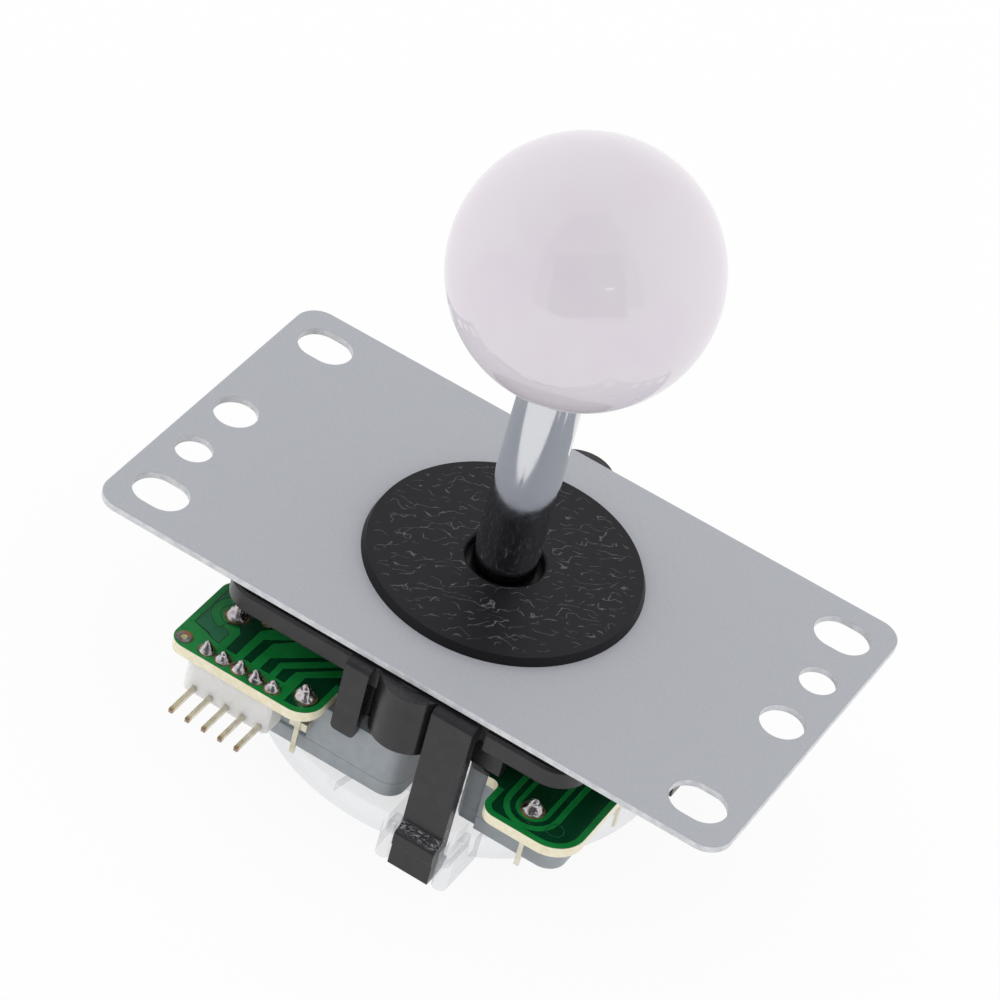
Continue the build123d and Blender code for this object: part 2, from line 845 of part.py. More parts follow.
with BuildPart(mode=Mode.PRIVATE) as switch_cover:
    with BuildSketch(Plane.XY.offset(switch_bottom)):
        with Locations((switch_mid_x, switch_mid_y)):
            RectangleRounded(switch_length, switch_depth, switch_corner)
        with Locations((switch_start, switch_inner)):
            Rectangle(
                switch_step_depth,
                switch_step_width,
                align=(Align.MIN, Align.MAX),
                mode=Mode.SUBTRACT,
            )
        with Locations(*switch_holes):
            Circle(switch_hole / 2, mode=Mode.SUBTRACT)
    extrude(amount=switch_cover_height)
    chamfer(switch_cover.faces().sort_by(Axis.Z)[0].outer_wire().edges(), switch_cover_bevel)
    chamfer(switch_cover.faces().sort_by(Axis.Z)[-1].outer_wire().edges(), switch_seam)

# Plunger of the switch, with a rounded tip towards the actuator
with BuildPart(mode=Mode.PRIVATE) as switch_plunger:
    with BuildSketch(Plane.XZ.offset(-plunger_tip)):
        with Locations((0, plunger_height)):
            Circle(plunger_diameter / 2)
    extrude(amount=plunger_length)
    fillet(switch_plunger.faces().sort_by(Axis.Y)[-1].edges(), plunger_round)

for turn, side in enumerate(side_names):
    save(quarter(switch_case.part, turn), f"switch_case_{side}")
    save(quarter(switch_cover.part, turn), f"switch_cover_{side}")
    save(quarter(switch_plunger.part, turn), f"switch_plunger_{side}")
    save(quarter(switch_terminals.part, turn), f"switch_terminals_{side}")

# Clear gate frame: deck under the switches, rim, track for the plate, ribs and clip prongs
gate_radius = gate_diameter / 2
track_radius = gate_track_diameter / 2
track_outer = track_radius + gate_track_wall
rib_reach = gate_radius - gate_rim_wall / 2
clip_slot_start = clip_left - clip_side_gap
clip_slot_end = clip_left + clip_width + clip_side_gap
prong_left_x = clip_slot_start - prong_left_width / 2
prong_right_x = clip_slot_end + prong_right_width / 2
prong_top = switch_bottom - prong_drop
with BuildPart() as gate_frame:
    with BuildSketch(Plane.XY.offset(switch_bottom)):
        Circle(gate_radius)
    extrude(amount=-gate_rim_height)
    with BuildSketch(Plane.XY.offset(gate_deck_bottom)):
        Circle(gate_radius - gate_rim_wall)
    extrude(amount=-gate_rim_height, mode=Mode.SUBTRACT)
    with BuildSketch(Plane.XY.offset(gate_deck_bottom)):
        Circle(track_outer)
    extrude(amount=-gate_track_height)
    for start in (gate_rib_angle, gate_rib_angle - gate_rib_step):
        with BuildSketch(Plane.XY.offset(gate_deck_bottom)):
            with PolarLocations(track_radius + gate_track_wall / 2, 4, start_angle=start):
                Rectangle(
                    rib_reach - track_radius - gate_track_wall / 2,
                    gate_rib_thickness,
                    align=(Align.MIN, Align.CENTER),
                )
        extrude(amount=-gate_rib_drop)
    with BuildSketch(Plane.XY.offset(gate_deck_bottom)):
        with PolarLocations(0, 4):
            with Locations((clip_slot_start, clip_slot_inner)):
                Rectangle(
                    clip_slot_end - clip_slot_start,
                    bridge_thickness,
                    align=(Align.MIN, Align.MIN),
                )
    extrude(amount=-bridge_height)
    with BuildSketch(Plane.XY.offset(gate_bottom)):
        with PolarLocations(0, 4):
            for x, width in ((prong_left_x, prong_left_width), (prong_right_x, prong_right_width)):
                with Locations((x, prong_inner)):
                    Rectangle(
                        width,
                        prong_inner - prong_end - width / 2,
                        align=(Align.CENTER, Align.MAX),
                    )
                with Locations((x, prong_end + width / 2)):
                    Circle(width / 2)
    extrude(amount=prong_top - gate_bottom)
    # Pockets sunk in the tops of the prongs: short on the left, long on the right
    with BuildSketch(Plane.XY.offset(prong_top)):
        with PolarLocations(0, 4):
            with Locations((prong_left_x, prong_end + 2 * prong_wall)):
                Rectangle(
                    prong_left_width - 2 * prong_wall,
                    prong_left_pocket,
                    align=(Align.CENTER, Align.MIN),
                )
            with Locations((prong_right_x, prong_end + prong_wall + prong_right_pocket / 2)):
                SlotOverall(prong_right_pocket, prong_right_width - 2 * prong_wall, rotation=90)
    extrude(amount=-prong_pocket_depth, mode=Mode.SUBTRACT)
    # Opening for the plate with a lip below it, and the slots where the clips pass
    with BuildSketch(Plane.XY.offset(switch_bottom)):
        Circle(track_radius)
    extrude(amount=gate_lip_top - switch_bottom, mode=Mode.SUBTRACT)
    with BuildSketch(Plane.XY.offset(switch_bottom)):
        Circle(track_radius - gate_lip)
    extrude(amount=gate_bottom - switch_bottom, mode=Mode.SUBTRACT)
    with BuildSketch(Plane.XY.offset(switch_bottom)):
        with PolarLocations(0, 4):
            with Locations((clip_slot_start, clip_slot_inner)):
                Rectangle(
                    clip_slot_end - clip_slot_start,
                    gate_radius,
                    align=(Align.MIN, Align.MAX),
                )
    extrude(amount=gate_bottom - switch_bottom, mode=Mode.SUBTRACT)
save(gate_frame.part, "gate_frame")

# Gate plate: the turnable disc with the square opening that limits the lever
with BuildPart() as gate_plate:
    with BuildSketch(Plane.XY.offset(gate_lip_top)):
        Circle(track_radius - plate_slip_gap)
    extrude(amount=gate_plate_thickness)
    with BuildSketch(Plane.XY.offset(gate_lip_top)):
        RectangleRounded(
            gate_square + 2 * gate_skirt_wall,
            gate_square + 2 * gate_skirt_wall,
            gate_square_corner + gate_skirt_wall,
        )
    extrude(amount=-gate_skirt_height)
    with BuildSketch(Plane.XY.offset(gate_lip_top)):
        with PolarLocations(gate_finger_radius, 2):
            Rectangle(gate_finger_width, gate_finger_length)
    extrude(amount=-gate_finger_drop)
    with BuildSketch(Plane.XY.offset(gate_lip_top - gate_skirt_height)):
        RectangleRounded(gate_square, gate_square, gate_square_corner)
    extrude(amount=gate_skirt_height + gate_plate_thickness, mode=Mode.SUBTRACT)
save(gate_plate.part, "gate_plate")
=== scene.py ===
import math

import bmesh
import bpy
from mathutils import Matrix, Vector, noise


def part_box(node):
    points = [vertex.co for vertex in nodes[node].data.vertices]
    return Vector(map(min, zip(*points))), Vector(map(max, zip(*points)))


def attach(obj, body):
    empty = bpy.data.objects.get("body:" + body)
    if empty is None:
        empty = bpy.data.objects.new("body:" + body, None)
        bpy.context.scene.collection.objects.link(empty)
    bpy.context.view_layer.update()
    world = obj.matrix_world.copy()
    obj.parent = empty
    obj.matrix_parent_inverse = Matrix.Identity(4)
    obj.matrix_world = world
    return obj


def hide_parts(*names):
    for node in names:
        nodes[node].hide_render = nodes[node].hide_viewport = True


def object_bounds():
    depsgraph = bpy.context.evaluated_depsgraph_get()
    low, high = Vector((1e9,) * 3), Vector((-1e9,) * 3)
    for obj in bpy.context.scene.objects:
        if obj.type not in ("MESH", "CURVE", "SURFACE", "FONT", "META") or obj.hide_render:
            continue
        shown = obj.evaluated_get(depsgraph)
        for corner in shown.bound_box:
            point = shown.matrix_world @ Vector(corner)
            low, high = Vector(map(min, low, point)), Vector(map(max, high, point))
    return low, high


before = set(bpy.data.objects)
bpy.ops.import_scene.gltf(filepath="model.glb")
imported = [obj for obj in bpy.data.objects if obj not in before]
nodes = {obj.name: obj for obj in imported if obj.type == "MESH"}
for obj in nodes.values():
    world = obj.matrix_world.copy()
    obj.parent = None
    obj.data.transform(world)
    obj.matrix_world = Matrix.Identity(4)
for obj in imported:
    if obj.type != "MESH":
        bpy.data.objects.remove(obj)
box_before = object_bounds()
scene = bpy.context.scene
MM = 0.001  # the frame is in metres, and the sizes given here are mostly in mm
SIDES = ("front", "right", "back", "left")


# ---- materials -------------------------------------------------------------

BLACK = (0, 0, 0)
WHITE = (1, 1, 1)


class Look:
    """A material with its shader, and short ways to add and join nodes."""

    def __init__(self, name, color, roughness, metallic=0.0):
        self.mat = bpy.data.materials.new(name)
        self.mat.use_nodes = True
        self.tree = self.mat.node_tree
        self.shader = self.tree.nodes["Principled BSDF"]
        self.set("Base Color", (*color, 1))
        self.set("Roughness", roughness)
        self.set("Metallic", metallic)
        self.set("IOR", 1.5)
        self.mat.diffuse_color = (*color, 1)

    def set(self, socket, value):
        """Sets a socket of the shader."""
        self.shader.inputs[socket].default_value = value
        return self

    def node(self, kind, **values):
        """Adds a node and sets its sockets, or else its own properties, by name."""
        made = self.tree.nodes.new(kind)
        for key, value in values.items():
            if key in made.inputs:
                made.inputs[key].default_value = value
            else:
                setattr(made, key, value)
        return made

    def join(self, a, b):
        self.tree.links.new(a, b)

    def place(self):
        """The surface's place in the part's own axes."""
        return self.node("ShaderNodeTexCoord").outputs["Object"]

    def noise(self, scale, detail=2.0, distortion=0.0, roughness=0.5, stretch=1.0):
        """Noise over the part's own place, squeezed upright by stretch."""
        made = self.node(
            "ShaderNodeTexNoise",
            Scale=scale,
            Detail=detail,
            Distortion=distortion,
            Roughness=roughness,
        )
        if stretch == 1.0:
            self.join(self.place(), made.inputs["Vector"])
        else:
            squeezed = self.node("ShaderNodeMapping", Scale=(1, 1, stretch))
            self.join(self.place(), squeezed.inputs["Vector"])
            self.join(squeezed.outputs["Vector"], made.inputs["Vector"])
        return made.outputs["Fac"]

    def ramp(self, source, stops, smooth=False):
        """Colours by a value, from stops of (value, colour)."""
        made = self.node("ShaderNodeValToRGB")
        made.color_ramp.interpolation = "EASE" if smooth else "LINEAR"
        points = made.color_ramp.elements
        while len(points) < len(stops):
            points.new(0.5)
        for point, (where, color) in zip(points, stops):
            point.position = where
            point.color = (*color, 1)
        self.join(source, made.inputs["Fac"])
        return made.outputs["Color"]

    def math(self, what, a, b=None):
        """A Math node over numbers or sockets."""
        made = self.node("ShaderNodeMath", operation=what)
        for socket, value in zip(made.inputs, (a, b)):
            if isinstance(value, (int, float)):
                socket.default_value = value
            elif value is not None:
                self.join(value, socket)
        return made.outputs[0]

    def bump(self, height, strength, distance):
        """Relief in the shading, its distance in metres."""
        made = self.node("ShaderNodeBump", Strength=strength, Distance=distance)
        self.join(height, made.inputs["Height"])
        self.join(made.outputs["Normal"], self.shader.inputs["Normal"])
        return self

    def round_edges(self, radius):
        """Softens the edges' shading, under any bump that is there."""
        made = self.node("ShaderNodeBevel", samples=4, Radius=radius)
        link = self.shader.inputs["Normal"].links
        if link:
            self.join(made.outputs["Normal"], link[0].from_node.inputs["Normal"])
        else:
            self.join(made.outputs["Normal"], self.shader.inputs["Normal"])
        return self

    def side_mix(self, flat, upright, underside=False):
        """Base colour that differs between the top face, or both level ones, and the rest."""
        facing = self.node("ShaderNodeNewGeometry")
        parts = self.node("ShaderNodeSeparateXYZ")
        self.join(facing.outputs["Normal"], parts.inputs[0])
        slope = parts.outputs["Z"]
        if underside:
            slope = self.math("ABSOLUTE", slope)
        level = self.ramp(slope, [(0.5, BLACK), (0.62, WHITE)])
        self.join(self.mix(level, upright, flat), self.shader.inputs["Base Color"])

    def remap(self, source, from_low, from_high, to_low, to_high):
        """A value carried from one range to another."""
        made = self.node("ShaderNodeMapRange")
        made.inputs["From Min"].default_value = from_low
        made.inputs["From Max"].default_value = from_high
        made.inputs["To Min"].default_value = to_low
        made.inputs["To Max"].default_value = to_high
        self.join(source, made.inputs["Value"])
        return made.outputs["Result"]

    def band(self, axis, low, high, soft):
        """One between two places along an axis in metres, nought a soft edge away."""
        parts = self.node("ShaderNodeSeparateXYZ")
        self.join(self.place(), parts.inputs[0])
        away = self.math("SUBTRACT", parts.outputs[axis], (low + high) / 2)
        half = (high - low) / 2
        return self.remap(self.math("ABSOLUTE", away), half, half + soft, 1.0, 0.0)

    def mix(self, share, a, b):
        """Colour b over colour a by a share."""
        both = self.node("ShaderNodeMix", data_type="RGBA")
        self.join(share, both.inputs["Factor"])
        for socket, color in ((both.inputs[6], a), (both.inputs[7], b)):
            if isinstance(color, tuple):
                socket.default_value = (*color, 1)
            else:
                self.join(color, socket)
        return both.outputs[2]

    def tint(self, source, color_a, color_b, low=0.35, high=0.65):
        """Base colour that wanders between two colours."""
        self.join(
            self.ramp(source, [(low, color_a), (high, color_b)]),
            self.shader.inputs["Base Color"],
        )
        return self

    def rough(self, source, low, high):
        """Roughness that wanders between two values."""
        self.join(self.remap(source, 0.3, 0.7, low, high), self.shader.inputs["Roughness"])
        return self


def srgb(r, g, b):
    """Linear colour of an 8-bit one."""

    def one(v):
        v = v / 255
        return v / 12.92 if v <= 0.04045 else ((v + 0.055) / 1.055) ** 2.4

    return one(r), one(g), one(b)


plate_look = Look("plate_steel", srgb(174, 177, 183), 0.45)
plate_look.side_mix(
    plate_look.ramp(
        plate_look.noise(2600, 4), [(0.35, srgb(172, 175, 181)), (0.65, srgb(177, 180, 186))]
    ),
    plate_look.ramp(
        plate_look.noise(800, 3),
        [(0.34, srgb(196, 198, 201)), (0.5, srgb(208, 210, 213)), (0.66, srgb(220, 221, 223))],
    ),
    underside=True,
)
plate_look.rough(plate_look.noise(400, 5), 0.38, 0.52)
plate_look.bump(plate_look.noise(5200, 3), 0.10, 0.00004)
plate_look.round_edges(0.00012)

ball_look = Look("ball_white", srgb(221, 213, 221), 0.05)
ball_look.set("Specular IOR Level", 0.8)
ball_look.set("Sheen Weight", 0.35).set("Sheen Roughness", 0.4)
ball_look.tint(ball_look.noise(90, 2), srgb(220, 211, 220), srgb(222, 215, 222))

shaft_look = Look("shaft_chrome", srgb(214, 216, 220), 0.07, metallic=1.0)
shaft_look.rough(shaft_look.noise(700, 6), 0.08, 0.14)
shaft_look.bump(shaft_look.noise(500, 3), 0.05, 0.00006)

insert_look = Look("insert_brass", srgb(190, 160, 90), 0.3, metallic=1.0)
insert_look.rough(insert_look.noise(900, 4), 0.25, 0.4)

washer_look = Look("washer_black", srgb(24, 23, 28), 0.42)
washer_look.set("Specular IOR Level", 0.2)


# The bends of the washer's wrinkles: the noise's scale, and how far it moves a line in metres
WIDE_BEND = (420, 0.0042)
SMALL_BEND = (1500, 0.0006)


def wrinkles(look, offset, along, spacing, width):
    """Thin wavy lines side by side across a direction, cut into short pieces.

    The direction is in radians, the spacing and the width in mm.
    """
    shift = look.node("ShaderNodeMapping", Location=(offset, offset, 0))
    look.join(look.place(), shift.inputs["Vector"])
    bent = shift.outputs["Vector"]
    for field_scale, reach in (WIDE_BEND, SMALL_BEND):
        field = look.node("ShaderNodeTexNoise", Scale=field_scale, Detail=0.5)
        look.join(shift.outputs["Vector"], field.inputs["Vector"])
        centred = look.node("ShaderNodeVectorMath", operation="SUBTRACT")
        look.join(field.outputs["Color"], centred.inputs[0])
        centred.inputs[1].default_value = (0.5, 0.5, 0.5)
        far = look.node("ShaderNodeVectorMath", operation="SCALE", Scale=reach)
        look.join(centred.outputs[0], far.inputs[0])
        total = look.node("ShaderNodeVectorMath", operation="ADD")
        look.join(bent, total.inputs[0])
        look.join(far.outputs[0], total.inputs[1])
        bent = total.outputs[0]
    across = look.node("ShaderNodeVectorMath", operation="DOT_PRODUCT")
    look.join(bent, across.inputs[0])
    across.inputs[1].default_value = (-math.sin(along), math.cos(along), 0)
    place = look.math("FRACT", look.math("MULTIPLY", across.outputs["Value"], 1 / MM / spacing))
    off = look.math("ABSOLUTE", look.math("SUBTRACT", place, 0.5))
    line = look.ramp(off, [(0.0, WHITE), (width / spacing, BLACK)], smooth=True)
    cut = look.node("ShaderNodeTexNoise", Scale=620, Detail=0.0)
    look.join(shift.outputs["Vector"], cut.inputs["Vector"])
    piece = look.ramp(cut.outputs["Fac"], [(0.49, BLACK), (0.53, WHITE)])
    return look.math("MULTIPLY", line, piece)


# Wrinkles only on the flat ring, between the bore and the bevelled rim. Their relief is the bump,
# and their lighter colour is a painted highlight on the ridges
wrinkle_and_highlight = washer_look.math(
    "MAXIMUM",
    wrinkles(washer_look, 0.0, 0.45, 1.5, 0.12),
    wrinkles(washer_look, 0.37, 0.85, 2.6, 0.12),
)
split = washer_look.node("ShaderNodeSeparateXYZ")
washer_look.join(washer_look.place(), split.inputs[0])
flat = washer_look.node("ShaderNodeCombineXYZ")
washer_look.join(split.outputs["X"], flat.inputs["X"])
washer_look.join(split.outputs["Y"], flat.inputs["Y"])
radius = washer_look.node("ShaderNodeVectorMath", operation="LENGTH")
washer_look.join(flat.outputs[0], radius.inputs[0])
RING_SPAN = 20.0  # mm, the radius at the ramp's end
ring = washer_look.ramp(
    washer_look.math("MULTIPLY", radius.outputs["Value"], 1 / MM / RING_SPAN),
    [
        (5.5 / RING_SPAN, BLACK),
        (5.8 / RING_SPAN, WHITE),
        (17.2 / RING_SPAN, WHITE),
        (17.7 / RING_SPAN, BLACK),
    ],
)
wrinkle_and_highlight = washer_look.math("MULTIPLY", wrinkle_and_highlight, ring)
# Painted highlight: the wrinkles are coloured lighter than the washer, standing in for the light
# on their ridges
washer_look.join(
    washer_look.ramp(wrinkle_and_highlight, [(0.0, srgb(21, 20, 25)), (1.0, srgb(96, 96, 102))]),
    washer_look.shader.inputs["Base Color"],
)
fine = washer_look.math("MULTIPLY", washer_look.noise(3000, 3), 0.10)
washer_look.bump(washer_look.math("ADD", wrinkle_and_highlight, fine), 0.9, 0.0001)

housing_look = Look("housing_black", srgb(30, 29, 32), 0.36)
housing_look.set("Specular IOR Level", 0.45)
housing_look.rough(housing_look.noise(260, 4), 0.18, 0.36)
# The clips' feet are scuffed where they step outward; the pale streaks there are partly wear and
# partly a painted highlight on the shelf
CLIP_STEP = (-0.0221, -0.0218)
scuff_and_highlight = housing_look.math(
    "MULTIPLY",
    housing_look.band("Z", *CLIP_STEP, 0.0005),
    housing_look.ramp(
        housing_look.noise(1500, 4, 1.5, stretch=5.0), [(0.51, BLACK), (0.62, WHITE)]
    ),
)
# Painted highlight mixed with wear: the pale grey streaks on the step stand in partly for the
# shelf's ragged highlights
housing_look.join(
    housing_look.mix(
        scuff_and_highlight,
        housing_look.ramp(
            housing_look.noise(500, 4), [(0.35, srgb(28, 27, 30)), (0.65, srgb(36, 35, 38))]
        ),
        srgb(176, 176, 181),
    ),
    housing_look.shader.inputs["Base Color"],
)
grain = housing_look.math("MULTIPLY", housing_look.noise(2500, 4), 0.15)
housing_look.bump(housing_look.math("ADD", grain, scuff_and_highlight), 1.0, 0.00006)
housing_look.round_edges(0.0002)

collar_look = Look("collar_black", srgb(40, 40, 42), 0.4)
collar_look.rough(collar_look.noise(600, 3), 0.35, 0.5)

white_look = Look("inner_white", srgb(226, 226, 222), 0.38)
white_look.tint(white_look.noise(300, 3), srgb(222, 222, 217), srgb(230, 230, 226))

spring_look = Look("spring_steel", srgb(170, 170, 174), 0.28, metallic=1.0)
spring_look.rough(spring_look.noise(1500, 3), 0.22, 0.36)

screw_look = Look("screw_zinc", srgb(182, 184, 188), 0.32, metallic=1.0)
screw_look.rough(screw_look.noise(1200, 3), 0.26, 0.42)

ring_look = Look("ring_steel", srgb(120, 120, 126), 0.35, metallic=1.0)
ring_look.rough(ring_look.noise(1200, 3), 0.3, 0.45)

# Board: dark mask over copper on top, cream laminate on the edges
board_look = Look("board_green", srgb(8, 76, 44), 0.2)
board_look.set("Specular IOR Level", 0.9)
board_look.side_mix(
    board_look.ramp(
        board_look.noise(300, 2), [(0.3, srgb(7, 62, 35)), (0.7, srgb(9, 70, 40))]
    ),
    board_look.ramp(
        board_look.noise(1300, 4), [(0.3, srgb(232, 222, 186)), (0.7, srgb(244, 238, 212))]
    ),
)
board_look.bump(board_look.noise(700, 2), 0.03, 0.00005)

trace_look = Look("board_bright", srgb(26, 134, 62), 0.22)
trace_look.tint(trace_look.noise(300, 2), srgb(22, 128, 56), srgb(30, 140, 68))

teal_look = Look("board_teal", srgb(40, 112, 76), 0.2)
teal_look.tint(teal_look.noise(300, 2), srgb(37, 108, 72), srgb(43, 116, 80))

film_look = Look("board_film", srgb(36, 84, 64), 0.12)
film_look.tint(film_look.noise(1200, 3), srgb(24, 72, 50), srgb(52, 100, 82))

copper_look = Look("copper_ring", srgb(150, 104, 60), 0.32, metallic=0.4)
copper_look.tint(copper_look.noise(600, 2), srgb(64, 92, 40), srgb(176, 120, 84), 0.4, 0.6)

solder_look = Look("solder", srgb(200, 194, 196), 0.16, metallic=1.0)
solder_look.tint(
    solder_look.noise(1100, 2), srgb(168, 160, 162), srgb(226, 220, 222), 0.3, 0.7
)
solder_look.rough(solder_look.noise(1300, 3), 0.1, 0.28)
solder_look.bump(solder_look.noise(1200, 2, 0.6), 0.35, 0.0001)

pin_look = Look("pin_tin", srgb(204, 198, 176), 0.22, metallic=0.9)
# The header's pins are bare and darker at their very ends
tip_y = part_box("header_pins")[0][1]
pin_look.join(
    pin_look.mix(
        pin_look.band("Y", tip_y - 0.001, tip_y + 0.0002, 0.0007),
        pin_look.ramp(
            pin_look.noise(420, 2), [(0.35, srgb(200, 194, 172)), (0.65, srgb(222, 218, 202))]
        ),
        srgb(164, 140, 116),
    ),
    pin_look.shader.inputs["Base Color"],
)
pin_look.rough(pin_look.noise(700, 3), 0.16, 0.3)

header_look = Look("header_white", srgb(244, 240, 236), 0.35)
header_look.set("Subsurface Weight", 0.7).set("Subsurface Scale", 0.004)
header_look.set("Subsurface Radius", (1.0, 0.95, 0.9))
header_look.tint(header_look.noise(400, 3), srgb(241, 237, 232), srgb(247, 244, 241))
header_look.bump(header_look.noise(1500, 2), 0.08, 0.00004)

switch_look = Look("switch_grey", srgb(150, 156, 161), 0.36)
switch_look.tint(switch_look.noise(700, 3), srgb(147, 153, 158), srgb(154, 160, 165))
switch_look.bump(switch_look.noise(3000, 3), 0.12, 0.00004)

cream_look = Look("plunger_cream", srgb(226, 214, 180), 0.4)
cream_look.tint(cream_look.noise(600, 2), srgb(222, 209, 174), srgb(231, 220, 188))

# Clear plastic: open where it is seen squarely, pale and solid where it is seen edge on, a painted
# reflection standing in for the bright glare of clear plastic at grazing angles
gate_look = Look("gate_clear", srgb(214, 219, 228), 0.08)
edge_on = gate_look.node("ShaderNodeLayerWeight", Blend=0.45)
gate_look.join(
    gate_look.ramp(
        edge_on.outputs["Facing"],
        [(0.0, (0.10, 0.10, 0.10)), (0.6, (0.20, 0.20, 0.20)), (1.0, (0.85, 0.85, 0.85))],
    ),
    gate_look.shader.inputs["Alpha"],
)
gate_look.rough(gate_look.noise(200, 3), 0.05, 0.12)

looks = {
    "mounting_plate": plate_look,
    "ball_top": ball_look,
    "ball_insert": insert_look,
    "shaft": shaft_look,
    "pivot": collar_look,
    "spring_collar": collar_look,
    "return_spring": spring_look,
    "actuator": white_look,
    "e_ring": ring_look,
    "dust_washer": washer_look,
    "plate_screws": screw_look,
    "housing": housing_look,
    "circuit_board": board_look,
    "solder_joints": solder_look,
    "header_pins": pin_look,
    "header_housing": header_look,
    "gate_frame": gate_look,
    "gate_plate": gate_look,
}
for side in SIDES:
    looks[f"switch_case_{side}"] = switch_look
    looks[f"switch_cover_{side}"] = switch_look
    looks[f"switch_plunger_{side}"] = cream_look
    looks[f"switch_terminals_{side}"] = pin_look
for name, look in looks.items():
    obj = nodes[name]
    if not obj.material_slots:
        obj.data.materials.append(look.mat)
    for slot in obj.material_slots:
        slot.material = look.mat


# ---- pieces made here ------------------------------------------------------


def add_mesh(name, verts, faces, look, body, smooth=True):
    """A mesh piece in metres that rides on a body."""
    mesh = bpy.data.meshes.new(name)
    mesh.from_pydata(verts, [], faces)
    mesh.validate()
    mesh.materials.append(look.mat)
    obj = bpy.data.objects.new(name, mesh)
    scene.collection.objects.link(obj)
    work = bmesh.new()
    work.from_mesh(mesh)
    bmesh.ops.recalc_face_normals(work, faces=work.faces)
    work.to_mesh(mesh)
    work.free()
    if smooth:
        for face in mesh.polygons:
            face.use_smooth = True
        mesh.set_sharp_from_angle(angle=math.radians(32))
    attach(obj, body)
    return obj


def lathe(name, profile, look, body, around):
    """A closed profile of (radius, height) in mm, turned round the lever's axis."""
    verts = []
    rings = []
    for r, z in profile:
        if r < 1e-6:
            rings.append([len(verts)])
            verts.append((0, 0, z * MM))
            continue
        rings.append(list(range(len(verts), len(verts) + around)))
        for i in range(around):
            a = 2 * math.pi * i / around
            verts.append((r * MM * math.cos(a), r * MM * math.sin(a), z * MM))
    faces = []
    count = len(rings)
    for k in range(count):
        low, high = rings[k], rings[(k + 1) % count]
        if len(low) == 1 and len(high) == 1:
            continue
        for i in range(around):
            j = (i + 1) % around
            if len(low) == 1:
                faces.append((low[0], high[i], high[j]))
            elif len(high) == 1:
                faces.append((low[i], low[j], high[0]))
            else:
                faces.append((low[i], low[j], high[j], high[i]))
    return add_mesh(name, verts, faces, look, body)


def top_of(node):
    """A node's highest point in mm."""
    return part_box(node)[1][2] / MM


# Ball: smooth sphere over the CAD one, with the same flat and bore
low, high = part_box("ball_top")
ball_r = (high[0] - low[0]) / 2 / MM
ball_z = high[2] / MM - ball_r
flat_z = low[2] / MM
flat_a = math.acos((ball_z - flat_z) / ball_r)
insert_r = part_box("ball_insert")[1][0] / MM
insert_top = top_of("ball_insert")
profile = [(0, insert_top), (insert_r, insert_top), (insert_r, flat_z)]
ball_steps = 96
for i in range(ball_steps + 1):
    a = flat_a + (math.pi - flat_a) * i / ball_steps
    profile.append((ball_r * math.sin(a), ball_z - ball_r * math.cos(a)))
profile[-1] = (0, ball_z + ball_r)  # the pole, exactly on the axis
ball = lathe("ball_smooth", profile, ball_look, "lever", around=192)
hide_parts("ball_top")

# Return spring, tilting with the lever between its collar and the actuator
low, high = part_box("return_spring")
wire = 0.5
coil_r = high[0] / MM - wire
coil_low = low[2] / MM + wire
coil_high = high[2] / MM - wire
turns = 4.0
path = bpy.data.curves.new("spring_path", "CURVE")
path.dimensions = "3D"
path.bevel_depth = wire * MM
path.bevel_resolution = 5
path.use_fill_caps = True
coil = path.splines.new("POLY")
coil_steps = 160
coil.points.add(coil_steps)
for i in range(coil_steps + 1):
    f = i / coil_steps
    a = 2 * math.pi * turns * f
    coil.points[i].co = (
        coil_r * MM * math.cos(a),
        coil_r * MM * math.sin(a),
        (coil_low + (coil_high - coil_low) * f) * MM,
        1,
    )
spring = bpy.data.objects.new("spring_coil", path)
scene.collection.objects.link(spring)
path.materials.append(spring_look.mat)
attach(spring, "lever")
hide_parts("return_spring")

# Solder joints: dented cones with a bent tip, in place of the plain CAD ones. The places are in
# mm, those of the terminals on the front side, from which the other sides follow by quarter turns.
board_z = top_of("circuit_board")
PIN_PITCH = 2.54
PIN_ROW = [(-19.8 + PIN_PITCH * k, -30.2) for k in (-2, -1, 0, 1, 2)]
TERMINALS = [(-10.7, -28.5), (-25.5, -22.2)]
TIP_BEND = 0.16  # how far a cone's tip leans to one side


def turned(x, y, quarters):
    """A point of the board, turned round the lever by quarter turns."""
    for _ in range(quarters):
        x, y = -y, x
    return x, y


def lump(verts, faces, cx, cy, base_r, height, seed):
    """Adds one closed solder cone in mm to a list of vertices and faces."""
    around, levels = 40, 18
    lean_x, lean_y = math.cos(seed * 2.4), math.sin(seed * 2.4)
    start = len(verts)
    verts.append((cx, cy, board_z))
    for k in range(levels + 1):
        t = k / levels
        swell = 1 - 0.18 * t - 0.95 * max(0.0, t - 0.08) ** 1.25
        r = base_r * max(0.10, swell + 0.22 * math.exp(-(((t - 0.8) / 0.14) ** 2)) * 0.6)
        bend = TIP_BEND * t * t
        for i in range(around):
            a = 2 * math.pi * i / around
            spot = Vector((math.cos(a) * 1.3 + seed * 3.1, math.sin(a) * 1.3, t * 2.2))
            dent = 1 + 0.17 * noise.noise(spot) * math.sin(math.pi * min(1.0, t * 1.2 + 0.15))
            fine_dent = 1 + 0.05 * noise.noise(spot * 3.3)
            rr = r * dent * (fine_dent if k else 1.0)
            verts.append(
                (
                    cx + rr * math.cos(a) + bend * lean_x,
                    cy + rr * math.sin(a) + bend * lean_y,
                    board_z + height * t,
                )
            )
    verts.append((cx + TIP_BEND * lean_x, cy + TIP_BEND * lean_y, board_z + height * 1.03))
    first = start + 1
    top = len(verts) - 1
    for i in range(around):
        j = (i + 1) % around
        faces.append((start, first + j, first + i))
        for k in range(levels):
            a, b = first + k * around, first + (k + 1) * around
            faces.append((a + i, a + j, b + j, b + i))
        last = first + levels * around
        faces.append((last + i, last + j, top))


